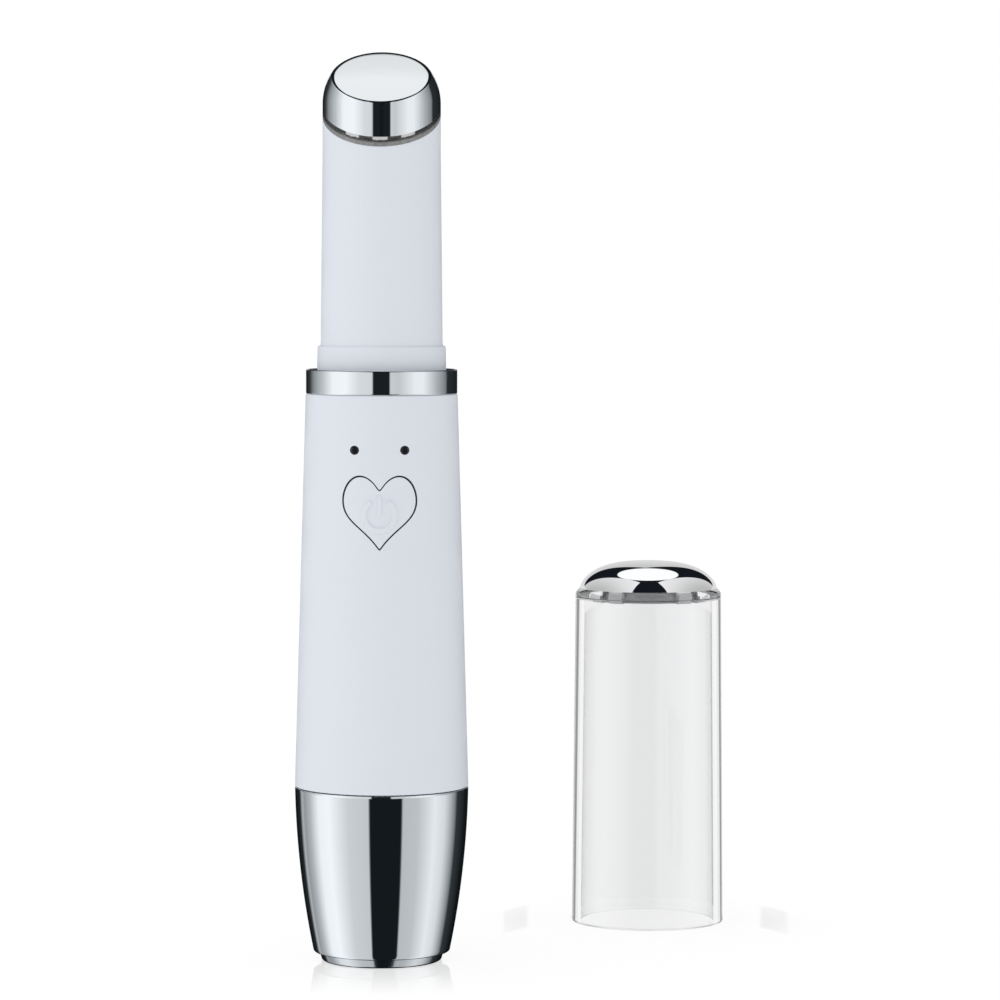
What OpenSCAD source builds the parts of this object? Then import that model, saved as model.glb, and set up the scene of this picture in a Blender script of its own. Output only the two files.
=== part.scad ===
// Heated eye massager wand with a pull-off base, a heart-shaped power button,
// a slanted heated head and a clear cap that stands beside it.
// Millimetres, +Z up. The origin is the centre of the foot on the table and the button faces -Y.

/* [Base cup] */
// Radius of the foot plate
foot_r = 9.85; // [8:0.05:10.2]
// Narrowing of the foot plate towards the table, in radius
foot_taper = 0.5; // [0.1:0.05:1]
// Height that the foot plate lifts the cup off the table
foot_h = 1.5; // [1:0.05:2.5]
// Height of the base cup
base_h = 26.85; // [24:0.05:32]
// Radius of the base cup where it is widest
base_r = 14.1; // [13.8:0.05:15]
// Radius of the arc that curves the cup's side
base_curve_r = 145; // [110:1:200]
// Height of the arc's centre above the cup's rim
base_curve_rise = 2.7; // [0:0.1:6]
// Wall of the base cup at its thinnest
base_wall = 1.4; // [1:0.1:1.8]
// Thickness of the base cup's floor
base_floor = 1.75; // [1.4:0.05:2.5]
// Chamfer between the cup's side and its underside
base_chamfer = 0.25; // [0.2:0.05:1]

/* [Barrel] */
// Length of the barrel
barrel_len = 63.65; // [60:0.05:75]
// Outer radius of the barrel at the base cup
barrel_bottom_r = 14.08; // [13.9:0.02:15]
// Outer radius of the barrel at the collar
barrel_top_r = 12.28; // [12.1:0.02:13.5]
// Wall of the barrel
barrel_wall = 1.8; // [1.5:0.1:2.2]
// Thickness of the barrel's top
barrel_top_t = 2.2; // [1.6:0.1:3]
// Shadow line between the base cup and the barrel
seam_gap = 0.1; // [0.05:0.05:0.3]

/* [Collar and neck] */
// Radius of the chrome collar
collar_r = 12.22; // [11.5:0.01:12.6]
// Height of the chrome collar
collar_h = 3.95; // [2.5:0.05:6]
// Edge rounding of the collar, cut as a chamfer
collar_chamfer = 0.25; // [0.1:0.05:0.5]
// Radius of the step that the cap fits over, at its foot
step_r = 10.42; // [10.4:0.02:10.8]
// Radius of the step at its top
step_top_r = 10.35; // [10:0.05:10.4]
// Height of the step
step_h = 3.8; // [2.5:0.1:6]
// Radius of the neck above the step
neck_r = 9.84; // [9.5:0.02:9.9]
// Height of the neck's axis from the step to the light ring
neck_len = 37.1; // [32:0.05:45]
// Radius of the spigot that runs down through the collar
spigot_r = 9.85; // [9.4:0.05:10]
// Wall of the neck
neck_wall = 1.35; // [1:0.05:1.5]

/* [Head] */
// Radius of the head
head_r = 9.52; // [9:0.02:9.7]
// Wall of the chrome head
head_wall = 0.9; // [0.6:0.05:1.2]
// Tilt of the massage face towards the front
face_tilt = 34.5; // [20:0.5:36]
// Distance of the massage face from the centre of the dome
face_dist = 5.4; // [5.2:0.05:6.5]
// Rounding of the massage face's edge
face_fillet = 0.8; // [0.4:0.1:1.5]
// Wall behind the massage face
face_wall = 1.2; // [0.8:0.1:1.4]
// Tilt of the light ring towards the front
ring_tilt = 29; // [15:0.5:30]
// Thickness of the light ring
ring_t = 1.3; // [0.8:0.05:1.8]
// Height from the light ring's top to the centre of the dome, along the axis
dome_rise = 0.3; // [0.2:0.1:3]

/* [Power button] */
// Half width of the heart
heart_half_w = 5.87; // [5:0.05:6]
// Height of the heart from its notch to its tip
heart_h = 9.35; // [8:0.05:9.8]
// Depth of the heart's notch below the barrel's top
heart_drop = 14.95; // [13:0.05:16]
// Gap around the heart
button_gap = 0.25; // [0.15:0.05:0.4]
// Travel of the button
button_travel = 0.4; // [0.2:0.05:0.5]
// Outer radius of the raised power symbol
symbol_r = 2.92; // [2:0.02:3.2]
// Line width of the raised power symbol
symbol_w = 0.88; // [0.5:0.02:1]
// Height of the raised power symbol
symbol_raise = 0.15; // [0.05:0.05:0.3]
// Radius of each indicator lens
lens_r = 0.68; // [0.4:0.02:0.9]
// Distance of each indicator lens from the middle
lens_x = 4; // [3:0.1:4.6]
// Height of the indicator lenses above the heart's notch
lens_rise = 6.3; // [5:0.1:8]

/* [Cap] */
// Distance of the standing cap to the right of the wand
cap_x = 44.7; // [30:0.1:80]
// Distance of the standing cap behind the wand
cap_y = 42; // [0:0.5:60]
// Height of the cap
cap_h = 62.1; // [59:0.1:80]
// Height of the chrome dome
dome_h = 4.6; // [3.6:0.1:6]
// Wall of the clear sleeve
cap_wall = 2.2; // [1.2:0.05:2.3]
// Gap between the cap's mouth and the step
cap_clearance = 0.45; // [0.2:0.05:0.6]
// Narrowing of the clear sleeve from its mouth to its top, in radius
cap_draft = 0.55; // [0.1:0.05:0.7]
// Rounding of the clear sleeve's shoulder
cap_shoulder = 1.2; // [0.6:0.1:1.4]
// Width of each snap tab of the dome
tab_w = 2.4; // [1.5:0.1:3]

/* [Battery] */
// Radius of the cell
cell_r = 5.25; // [5:0.05:5.4]
// Length of the cell with its button
cell_len = 44.5; // [40:0.1:45]
// Gap between the cell and the tube around it
cell_clearance = 0.2; // [0.1:0.05:0.4]
// Wall of the battery tube
tube_wall = 1.2; // [0.8:0.1:1.5]
// Wire radius of the battery spring
spring_wire_r = 0.3; // [0.2:0.05:0.4]
// Number of turns of the battery spring
spring_turns = 3.5; // [2:0.5:5]
// Free height left for the battery spring
spring_h = 5.9; // [5:0.1:8]

/* [Skirt] */
// Depth that the skirt reaches down into the base cup
skirt_depth = 11.3; // [8:0.1:12]
// Gap between the skirt and the base cup
skirt_clearance = 0.25; // [0.2:0.05:0.4]
// Height of the skirt inside the barrel
skirt_rise = 8; // [6:0.1:12]
// Wall of the skirt
skirt_wall = 1.4; // [1.2:0.1:1.6]
// Radius of the seal ring's section
seal_r = 0.45; // [0.3:0.05:0.5]

/* [Electronics] */
// Half width of the main board
board_half_w = 8.2; // [8:0.1:8.6]
// Thickness of each board
board_t = 1; // [0.8:0.1:1.2]
// Distance of the main board's front from the wand's axis
board_front = 4; // [3.6:0.1:4.4]
// Width of the switch housing
switch_w = 6; // [4.5:0.1:6.2]
// Depth of the switch housing
switch_t = 2.4; // [2:0.1:2.6]
// Radius of the switch plunger
plunger_r = 1.7; // [1.2:0.1:2]

/* [Motor] */
// Radius of the motor case
motor_r = 4; // [3.5:0.1:4.2]
// Length of the motor case
motor_len = 14; // [10:0.1:16]
// Radius of the motor shaft
shaft_r = 0.75; // [0.5:0.05:1]
// Running clearance of the motor shaft
shaft_clearance = 0.05; // [0.03:0.01:0.08]
// Length of the eccentric weight
weight_len = 6; // [4:0.1:7]
// Radius of the eccentric weight
weight_r = 3.6; // [3:0.1:4]

/* [Hidden] */
$fn = 96;

fit = 0.1;          // gap between parts that are pushed together
glue_gap = 0.05;    // gap between bonded flat parts
far = 90;           // reach of the solids that cut and trim

// heights along the axis
base_rim_z = foot_h + base_h;
barrel_z = base_rim_z + seam_gap;
barrel_top_z = barrel_z + barrel_len;
collar_top_z = barrel_top_z + collar_h;
step_top_z = collar_top_z + step_h;
ring_z = step_top_z + neck_len;
ring_top_z = ring_z + ring_t / cos(ring_tilt);
dome_z = ring_top_z + dome_rise;
notch_z = barrel_top_z - heart_drop;
lens_z = notch_z + lens_rise;

// base cup, skirt and battery
base_floor_z = foot_h + base_floor;
skirt_z = barrel_z - skirt_depth;
base_bore_r = base_outer_r(skirt_z) - base_wall;
skirt_r = base_bore_r - skirt_clearance;
shoulder_z = barrel_z + skirt_rise;
counterbore_r = barrel_r(shoulder_z) - barrel_wall + 0.5;
plate_t = 0.4;
nest_r = cell_r + 0.15;
nest_h = 1.6;
cell_z = base_floor_z + plate_t + spring_h + 0.2;
cell_top_z = cell_z + cell_len;
tube_r = cell_r + cell_clearance + tube_wall;
contact_t = 0.3;
deck_z = cell_top_z + 2 * contact_t + 0.2;
deck_t = 1.5;
contact_x = 2.8;
contact_w = 2.4;

// main board and what stands on it
board_z = deck_z + deck_t + 2;
board_top_z = barrel_top_z - barrel_top_t - 0.6;
rail_x = board_half_w - 1.5;
rail_w = 2.6;
rail_back = 1;
bridge_h = 2.5;
screw_r = 0.7;
screw_head_r = 1.3;
screw_rows = [board_z + 2, board_top_z - 2.2];
button_z = notch_z - 3.5;
symbol_z = notch_z - 4;
plunger_hold = 0.4;
plunger_front = board_front + switch_t + button_travel + 0.2;
flange_t = 0.8;
flange_back = plunger_front + 0.4;
flange_front = flange_back + flange_t;
flange_r = heart_half_w + 1;
led_w = 1.6;
led_t = 0.8;
head_led_w = 2.4;

// neck, motor and head
spigot_z = barrel_top_z - barrel_top_t;
ledge_z = step_top_z + 1.2;
taper_top_z = ring_z - 0.6 * head_r;
neck_bore_r = head_r - neck_wall;
cradle_floor = 1.6;
motor_z = ledge_z + cradle_floor;
sleeve_t = 0.95;
sleeve_r = motor_r + glue_gap + sleeve_t;
cradle_r = sleeve_r + glue_gap + 0.95;
end_cap_t = 1.4;
weight_z = motor_z + motor_len + end_cap_t + 0.6;
ring_bore_r = neck_bore_r - fit - 0.75;
carrier_t = 1.4;
carrier_bore_r = 3;
led_board_t = 0.8;
ring_lip = 2;
heater_r = head_r - 3.15;
heater_t = 0.25;
lead_drop = (board_top_z - board_z) / 6;
lead_r = 0.35;

// cap
cap_mouth_r = step_r + cap_clearance;
cap_r = cap_mouth_r + cap_wall;
cap_lip = 0.05;
cap_lip_h = 0.7;
sleeve_h = cap_h - dome_h;
sleeve_top_r = cap_r - cap_draft;
sleeve_shelf = 1.4;
shelf_bore_r = 8.6;
dome_r = sleeve_top_r - 0.75;
dome_wall = 1.2;
tab_r = 9.8;
tab_t = 0.8;
tab_len = 2.1;
tab_angles = [for (q = [45:90:315]) for (side = [-11.5, 11.5]) q + side];

// radius of the base cup's curved side at height z
function base_outer_r(z) = base_r - base_curve_r
    + sqrt(pow(base_curve_r, 2) - pow(base_rim_z + base_curve_rise - z, 2));

// radius of the barrel's straight taper at height z
function barrel_r(z) = barrel_bottom_r
    + (barrel_top_r - barrel_bottom_r) * (z - barrel_z) / barrel_len;

// outline of the heart, from its notch round to the notch again, with the notch at the origin
function heart_points(grow = 0) = let (s = 1 + grow / heart_half_w)
    [for (i = [0:63]) let (t = i * 360 / 64) [
        s * heart_half_w * (0.85 * sin(t) - 0.18 * sin(3 * t) - 0.02 * sin(5 * t)),
        s * heart_h * (0.085 + 0.57 * cos(t) - 0.16 * cos(2 * t) - 0.075 * cos(3 * t)
            - 0.06 * cos(4 * t)) - 0.36 * heart_h]];

// closed round tube along a path; side is a direction that the path never takes
module wire(path, r, side, sides = 8) {
    last = len(path) - 1;
    rings = [for (i = [0:last]) let (
        step = path[min(i + 1, last)] - path[max(i - 1, 0)],
        u = cross(step, side) / norm(cross(step, side)),
        v = cross(step, u) / norm(step))
        for (k = [0:sides - 1]) path[i] + r * (cos(k * 360 / sides) * u + sin(k * 360 / sides) * v)];
    walls = [for (i = [0:last - 1]) for (k = [0:sides - 1]) let (n = (k + 1) % sides)
        for (f = [[i * sides + k, i * sides + n, (i + 1) * sides + n],
            [i * sides + k, (i + 1) * sides + n, (i + 1) * sides + k]]) f];
    start = [for (k = [sides - 1:-1:0]) k];
    end = [for (k = [0:sides - 1]) last * sides + k];
    polyhedron(rings, concat([start, end], walls));
}

// plain tube standing on height z
module tube(outer, inner, z, h) {
    translate([0, 0, z]) difference() {
        cylinder(r = outer, h = h);
        translate([0, 0, -1]) cylinder(r = inner, h = h + 2);
    }
}

// round bar along Y, from the distance y1 in front of the axis back to y2
module bar_y(r, x, z, y1, y2) {
    translate([x, -y2, z]) rotate([90, 0, 0]) cylinder(r = r, h = y1 - y2);
}

// block given by its limits
module block(x, y, z) {
    translate([x[0], y[0], z[0]]) cube([x[1] - x[0], y[1] - y[0], z[1] - z[0]]);
}

// slice of space that lies parallel to the light ring, between two heights above its underside
module ring_slice(from, to) {
    translate([0, 0, ring_z]) rotate([ring_tilt, 0, 0])
        translate([-far, -far, from]) cube([2 * far, 2 * far, to - from]);
}

// upright cylinder that ends in the head's dome
module dome_limit(r) {
    translate([0, 0, dome_z]) sphere(r = r);
    translate([0, 0, ledge_z]) cylinder(r = r, h = dome_z - ledge_z);
}

// dome with a flat tilted face and a rounded edge around the face
module faced_dome(r, face, fillet) {
    edge_r = sqrt(pow(r, 2) - pow(face - fillet, 2)) - fillet + 0.02;
    difference() {
        dome_limit(r);
        translate([0, 0, dome_z]) rotate([face_tilt, 0, 0]) rotate_extrude() difference() {
            union() {
                translate([0, face]) square([far, far]);
                translate([edge_r, face - fillet]) square([far, far]);
            }
            translate([edge_r, face - fillet]) circle(r = fillet, $fn = 48);
        }
    }
}

// solid cone of the barrel, grown by a distance
module barrel_cone(grow = 0) {
    translate([0, 0, barrel_z])
        cylinder(r1 = barrel_bottom_r + grow, r2 = barrel_top_r + grow, h = barrel_len);
}

// heart-shaped bar along Y
module heart_bar(grow, y1, y2) {
    translate([0, -y2, notch_z]) rotate([90, 0, 0])
        linear_extrude(height = y1 - y2) polygon(heart_points(grow));
}

module base_cup() {
    color("gainsboro") difference() {
        rotate_extrude() difference() {
            intersection() {
                translate([base_r - base_curve_r, base_rim_z + base_curve_rise])
                    circle(r = base_curve_r, $fn = 720);
                polygon([[0, foot_h], [base_outer_r(foot_h) - base_chamfer, foot_h],
                    [base_outer_r(foot_h) + far, foot_h + base_chamfer + far], [0, far + base_rim_z]]);
                translate([0, foot_h]) square([far, base_h]);
            }
            intersection() {
                translate([base_r - base_curve_r, base_rim_z + base_curve_rise])
                    circle(r = base_curve_r - base_wall, $fn = 720);
                translate([0, base_floor_z]) square([base_bore_r, base_h]);
            }
        }
        translate([0, 0, foot_h - 1]) cylinder(r = foot_r / 2 + fit, h = 1 + base_floor / 2);
    }
    color("gainsboro") difference() {
        tube(nest_r + 0.9, nest_r, base_floor_z, nest_h);
        block([contact_x - contact_w, contact_x + contact_w], [0, far], [base_floor_z, cell_z]);
    }
}

module foot_plate() {
    color("silver") rotate_extrude() polygon([[0, 0], [foot_r - foot_taper, 0], [foot_r, foot_h],
        [foot_r / 2, foot_h], [foot_r / 2, foot_h + base_floor / 2 - fit],
        [0, foot_h + base_floor / 2 - fit]]);
}

module barrel() {
    inner_top = spigot_z;
    color("white") difference() {
        rotate_extrude() polygon([[counterbore_r, barrel_z], [barrel_bottom_r, barrel_z],
            [barrel_top_r, barrel_top_z], [spigot_r + fit, barrel_top_z], [spigot_r + fit, inner_top],
            [barrel_r(inner_top) - barrel_wall, inner_top],
            [barrel_r(shoulder_z) - barrel_wall, shoulder_z], [counterbore_r, shoulder_z]]);
        heart_bar(button_gap, barrel_bottom_r + 1, barrel_top_r / 2);
        for (x = [-lens_x, lens_x]) bar_y(lens_r + 0.05, x, lens_z, barrel_bottom_r, barrel_top_r / 2);
    }
}

module collar_ring() {
    color("gainsboro") rotate_extrude() polygon([[spigot_r + fit, barrel_top_z],
        [collar_r - collar_chamfer, barrel_top_z], [collar_r, barrel_top_z + collar_chamfer],
        [collar_r, collar_top_z - collar_chamfer], [collar_r - collar_chamfer, collar_top_z],
        [spigot_r + fit, collar_top_z]]);
}

module neck_tube() {
    color("white") difference() {
        intersection() {
            rotate_extrude() polygon([[neck_bore_r - 0.5, spigot_z], [spigot_r, spigot_z],
                [spigot_r, collar_top_z], [step_r, collar_top_z], [step_top_r, step_top_z - 0.2],
                [step_top_r - 0.2, step_top_z], [neck_r, step_top_z + 0.6],
                [head_r, taper_top_z], [head_r, dome_z + head_r], [neck_bore_r, dome_z + head_r],
                [neck_bore_r, ledge_z], [neck_bore_r - 0.5, ledge_z]]);
            union() {
                dome_limit(head_r);
                translate([0, 0, spigot_z]) cylinder(r = far, h = taper_top_z - spigot_z);
            }
        }
        ring_slice(0, far);
    }
}

module light_ring() {
    color("dimgray") difference() {
        union() {
            intersection() {
                dome_limit(head_r);
                ring_slice(0, ring_t);
            }
            intersection() {
                dome_limit(neck_bore_r - fit);
                ring_slice(-ring_lip, ring_t / 2);
            }
            intersection() {
                dome_limit(head_r - head_wall - 0.2);
                ring_slice(ring_t / 2, ring_t + 1);
            }
        }
        translate([0, 0, ledge_z]) cylinder(r = ring_bore_r, h = far);
    }
}

module massage_head() {
    color("gainsboro") intersection() {
        difference() {
            faced_dome(head_r, face_dist, face_fillet);
            faced_dome(head_r - head_wall, face_dist - face_wall, face_fillet / 2);
        }
        ring_slice(ring_t, far);
    }
}

module power_button() {
    color("white") {
        intersection() {
            heart_bar(0, barrel_bottom_r + 1, flange_front);
            barrel_cone();
        }
        bar_y(flange_r, 0, button_z, flange_front, flange_back);
        bar_y(plunger_r - 0.3, 0, button_z, flange_back, plunger_front + glue_gap);
        intersection() {
            translate([0, -flange_front, symbol_z]) rotate([90, 0, 0])
                linear_extrude(height = barrel_bottom_r) power_symbol();
            barrel_cone(symbol_raise);
        }
    }
}

// ring that is open at its top, with an upright bar in the opening
module power_symbol() {
    difference() {
        circle(r = symbol_r);
        circle(r = symbol_r - symbol_w);
        translate([-1.5 * symbol_w, 0]) square([3 * symbol_w, symbol_r + 1]);
    }
    translate([-symbol_w / 2, -0.3]) square([symbol_w, symbol_r + 0.45]);
}

// light guide from an indicator LED to the barrel's surface
module indicator_lens(x) {
    front = sqrt(pow(barrel_r(lens_z), 2) - pow(x, 2));
    lip_r = lens_r + 0.5;
    lip = sqrt(pow(barrel_r(lens_z) - barrel_wall, 2) - pow(abs(x) + lip_r, 2)) - 2 * fit;
    color("black") {
        bar_y(lens_r, x, lens_z, front, board_front + led_t + 0.3);
        bar_y(lip_r, x, lens_z, lip, lip - 0.8);
    }
}

module indicator_lens_left() { indicator_lens(-lens_x); }
module indicator_lens_right() { indicator_lens(lens_x); }

module indicator_leds() {
    color("ivory") for (x = [-lens_x, lens_x]) block([x - led_w / 2, x + led_w / 2],
        [-board_front - led_t, -board_front], [lens_z - led_w / 4, lens_z + led_w / 4]);
}

module chassis() {
    color("whitesmoke") difference() {
        union() {
            tube(tube_r, cell_r + cell_clearance, cell_z + 1.5, deck_z - cell_z - 1.5);
            translate([0, 0, deck_z])
                cylinder(r = barrel_r(deck_z + deck_t) - barrel_wall - 0.3, h = deck_t);
            skirt();
            for (a = [45:90:315]) rotate([0, 0, a])
                block([tube_r - 0.3, skirt_r - skirt_wall + 0.3], [-0.7, 0.7], [skirt_z, shoulder_z]);
            for (x = [-rail_x, rail_x]) block([x - rail_w / 2, x + rail_w / 2],
                [board_t - board_front, rail_back], [deck_z, board_top_z - 0.6]);
            block([-rail_x, rail_x], [-1, rail_back],
                [board_top_z - 0.6 - bridge_h, board_top_z - 0.6]);
        }
        for (x = [-rail_x, rail_x]) for (z = screw_rows)
            bar_y(screw_r + 0.08, x, z, board_front + 1, 0.3);
        block([-contact_x - contact_w / 2 - 0.4, -contact_x + contact_w / 2 + 0.4],
            [-3.4, -2], [deck_z - 1, deck_z + deck_t + 1]);
        block([contact_x - contact_w / 2 - 0.4, contact_x + contact_w / 2 + 0.4],
            [tube_r - 0.1, tube_r + 0.8], [deck_z - 1, deck_z + deck_t + 1]);
    }
}

// sleeve of the chassis that the base cup slides over, with a groove for the seal ring
module skirt() {
    groove_z = skirt_z + 3;
    groove_r = skirt_r - 2 * seal_r;
    rotate_extrude() difference() {
        polygon([[skirt_r - skirt_wall, skirt_z], [skirt_r - 0.4, skirt_z], [skirt_r, skirt_z + 0.4],
            [skirt_r, barrel_z + 0.3], [counterbore_r - fit, barrel_z + 0.3],
            [counterbore_r - fit, shoulder_z], [skirt_r - skirt_wall, shoulder_z]]);
        translate([groove_r, groove_z]) square([far, 2 * seal_r + fit]);
    }
}

module seal_ring() {
    color("dimgray") rotate_extrude()
        translate([skirt_r - seal_r + skirt_clearance / 2, skirt_z + 3 + seal_r + fit / 2])
            circle(r = seal_r, $fn = 32);
}

module main_board() {
    color("seagreen") difference() {
        block([-board_half_w, board_half_w], [-board_front, board_t - board_front],
            [board_z, board_top_z]);
        for (x = [-rail_x, rail_x]) for (z = screw_rows)
            bar_y(screw_r + 0.2, x, z, board_front + 1, board_front - board_t - 1);
    }
}

module board_screws() {
    color("silver") for (x = [-rail_x, rail_x]) for (z = screw_rows) difference() {
        union() {
            bar_y(screw_r, x, z, board_front, 0.6);
            bar_y(screw_head_r, x, z, board_front + 0.8, board_front);
        }
        for (a = [0, 90]) translate([x, -board_front - 0.8, z]) rotate([0, a, 0])
            cube([screw_head_r, 0.8, 0.3], center = true);
    }
}

module switch_housing() {
    color("dimgray") difference() {
        block([-switch_w / 2, switch_w / 2], [-board_front - switch_t, -board_front],
            [button_z - switch_w / 2, button_z + switch_w / 2]);
        bar_y(plunger_r + 0.2, 0, button_z, board_front + switch_t + 1,
            board_front + switch_t - plunger_hold - button_travel - 0.1);
        for (x = [-1, 1]) for (z = [-1, 1])
            bar_y(0.3, x * (switch_w / 2 - 0.7), button_z + z * (switch_w / 2 - 0.7),
                board_front + switch_t + 1, board_front + switch_t - 0.2);
    }
}

module switch_plunger() {
    color("black") bar_y(plunger_r, 0, button_z, plunger_front,
        board_front + switch_t - plunger_hold);
}

module controller_chip() {
    room = button_z - switch_w / 2 - board_z;
    size = 0.4 * room;
    z = board_z + 0.25 * room;
    color("black") {
        block([-size / 2, size / 2], [-board_front - 1, -board_front], [z, z + size]);
        for (row = [1:2:7]) block([-size / 2 - 0.8, size / 2 + 0.8], [-board_front - 0.3, -board_front],
            [z + row * size / 8 - 0.2, z + row * size / 8 + 0.2]);
    }
}

module battery_cell() {
    color("silver") translate([0, 0, cell_z]) rotate_extrude() polygon([[0, 0], [cell_r - 0.4, 0],
        [cell_r, 0.4], [cell_r, cell_len - 1.4], [cell_r - 0.4, cell_len - 1],
        [1.9, cell_len - 1], [1.9, cell_len], [0, cell_len]]);
}

// sheet that the cell's button presses on, with a tongue up to the main board
module positive_contact() {
    tongue_y = board_t - board_front + 0.15;
    color("gold") {
        translate([0, 0, cell_top_z + 0.1]) cylinder(r = cell_r - 0.3, h = contact_t);
        block([-contact_x - contact_w / 2, -contact_x + contact_w / 2],
            [tongue_y, tongue_y + contact_t], [cell_top_z + 0.1, board_z + 2 * contact_w]);
    }
}

// cone-shaped spring between the base cup and the cell
module battery_spring() {
    z = base_floor_z + plate_t + spring_wire_r;
    rise = spring_h - 2 * spring_wire_r;
    steps = 16 * spring_turns;
    color("silver") wire([for (i = [0:steps]) let (r = cell_r - 1 - 2 * i / steps, a = i * 360 / 16)
        [r * cos(a), r * sin(a), z + rise * i / steps]], spring_wire_r, [0, 0, 1], 6);
}

module spring_contact_plate() {
    back = tube_r + contact_t + 0.4;
    color("gold") {
        translate([0, 0, base_floor_z]) cylinder(r = nest_r - fit, h = plate_t);
        block([contact_x - contact_w / 2, contact_x + contact_w / 2], [0, back + contact_t],
            [base_floor_z, base_floor_z + plate_t]);
        block([contact_x - contact_w / 2, contact_x + contact_w / 2], [back, back + contact_t],
            [base_floor_z, cell_z]);
    }
}

// strip up the outside of the battery tube that ends behind the main board
module contact_strip() {
    x = [contact_x - contact_w / 2, contact_x + contact_w / 2];
    top = board_z + 2;
    color("gold") {
        block(x, [tube_r + 0.1, tube_r + 0.1 + contact_t], [base_floor_z + nest_h + 1, top]);
        block(x, [board_t - board_front + 0.15, tube_r + 0.1 + contact_t], [top - contact_t, top]);
    }
}

module motor_case() {
    color("silver") translate([0, 0, motor_z]) difference() {
        cylinder(r = motor_r, h = motor_len);
        translate([0, 0, cradle_floor]) cylinder(r = motor_r - 0.4, h = motor_len);
        translate([0, 0, -1]) cylinder(r = shaft_r + shaft_clearance, h = motor_len);
    }
}

module motor_end_cap() {
    color("dimgray") translate([0, 0, motor_z + motor_len]) difference() {
        union() {
            cylinder(r = motor_r, h = end_cap_t);
            translate([0, 0, -1]) cylinder(r = motor_r - 0.45, h = 1.5);
        }
        translate([0, 0, -2]) cylinder(r = shaft_r + shaft_clearance, h = end_cap_t + 3);
    }
}

module motor_shaft() {
    color("silver") translate([0, 0, motor_z + 0.2])
        cylinder(r = shaft_r, h = weight_z + weight_len - motor_z - 0.4);
}

// three-pole core of the motor
module motor_armature() {
    color("peru") translate([0, 0, motor_z + 3.4]) difference() {
        cylinder(r = motor_r - 1, h = motor_len - 6);
        translate([0, 0, -1]) cylinder(r = shaft_r + 0.02, h = motor_len);
        for (a = [0:120:240]) rotate([0, 0, a]) translate([1.6, -0.4, -1]) cube([5, 0.8, motor_len]);
    }
}

module eccentric_weight() {
    color("gold") translate([0, 0, weight_z]) difference() {
        cylinder(r = weight_r, h = weight_len);
        translate([0, 0, -1]) cylinder(r = shaft_r + 0.02, h = weight_len + 2);
        difference() {
            translate([-far, 0, -1]) cube([2 * far, far, weight_len + 2]);
            translate([0, 0, -1]) cylinder(r = shaft_r + 1, h = weight_len + 2);
        }
    }
}

module motor_sleeve() {
    color("dimgray") tube(sleeve_r, motor_r + glue_gap, motor_z + 0.4, motor_len - 1);
}

// holder that centres the motor in the neck and rests on the neck's ledge
module motor_cradle() {
    color("whitesmoke") difference() {
        union() {
            tube(neck_bore_r - fit, motor_r - 0.4, ledge_z, cradle_floor);
            tube(cradle_r, sleeve_r + glue_gap, motor_z, motor_len);
            for (a = [45:90:315]) rotate([0, 0, a])
                block([cradle_r - 0.3, neck_bore_r - 0.15], [-0.6, 0.6], [ledge_z, motor_z + motor_len]);
        }
        block([-2.2, 2.2], [cradle_r + 0.1, far], [ledge_z - 1, motor_z + 1]);
    }
}

// plate under the light ring that carries the LED board
module head_carrier() {
    color("whitesmoke") {
        intersection() {
            tube(neck_bore_r - fit, carrier_bore_r, ledge_z, far);
            ring_slice(-ring_lip - carrier_t, -ring_lip);
        }
        intersection() {
            tube(ring_bore_r - 0.2, ring_bore_r - 1.6, ledge_z, far);
            ring_slice(-ring_lip - carrier_t / 2, -led_board_t - fit);
        }
    }
}

module led_board() {
    color("saddlebrown") intersection() {
        tube(ring_bore_r - 0.2, carrier_bore_r, ledge_z, far);
        ring_slice(-led_board_t - fit, -fit);
    }
}

module head_leds() {
    color("ivory") translate([0, 0, ring_z]) rotate([ring_tilt, 0, 0])
        for (a = [0:45:315]) rotate([0, 0, a]) translate([ring_bore_r - 0.3 - led_t, -head_led_w / 2, -fit])
            cube([led_t, head_led_w, led_t]);
}

// heating foil bonded behind the massage face
module heater_film() {
    inside = face_dist - face_wall;
    color("orange") translate([0, 0, dome_z]) rotate([face_tilt, 0, 0])
        translate([0, 0, inside - glue_gap - heater_t]) cylinder(r = heater_r, h = heater_t);
}

module thermistor() {
    inside = face_dist - face_wall;
    color("black") translate([0, 0, dome_z]) rotate([face_tilt, 0, 0])
        translate([0, 0, inside - 2 * glue_gap - heater_t - 0.8]) cylinder(r = 0.8, h = 0.8);
}

module motor_leads() {
    start = board_t - board_front + lead_r + 0.1;
    color("red") for (x = [-1, 1]) wire([[3 * x, start, board_top_z - lead_drop], [3 * x, start, board_top_z],
        [2.6 * x, -2.1, step_top_z - 5], [1.8 * x, -1.7, ledge_z - 2], [1.8 * x, -1.6, motor_z - 0.1]],
        lead_r, [1, 0, 0]);
}

module head_leads() {
    start = board_t - board_front + lead_r + 0.1;
    back = neck_bore_r - 1.1;
    color("black") for (x = [-1.2, 1.2]) wire([[x, start, board_top_z - lead_drop], [x, start, board_top_z],
        [x, 0, collar_top_z - 2], [x, back - 1.6, step_top_z - 1.5], [x, back - 0.3, ledge_z],
        [x, back - 0.2, motor_z], [x, back - 0.2, motor_z + motor_len],
        [x, back - 0.2, ring_z - 3.6]], lead_r, [1, 0, 0]);
}

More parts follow.
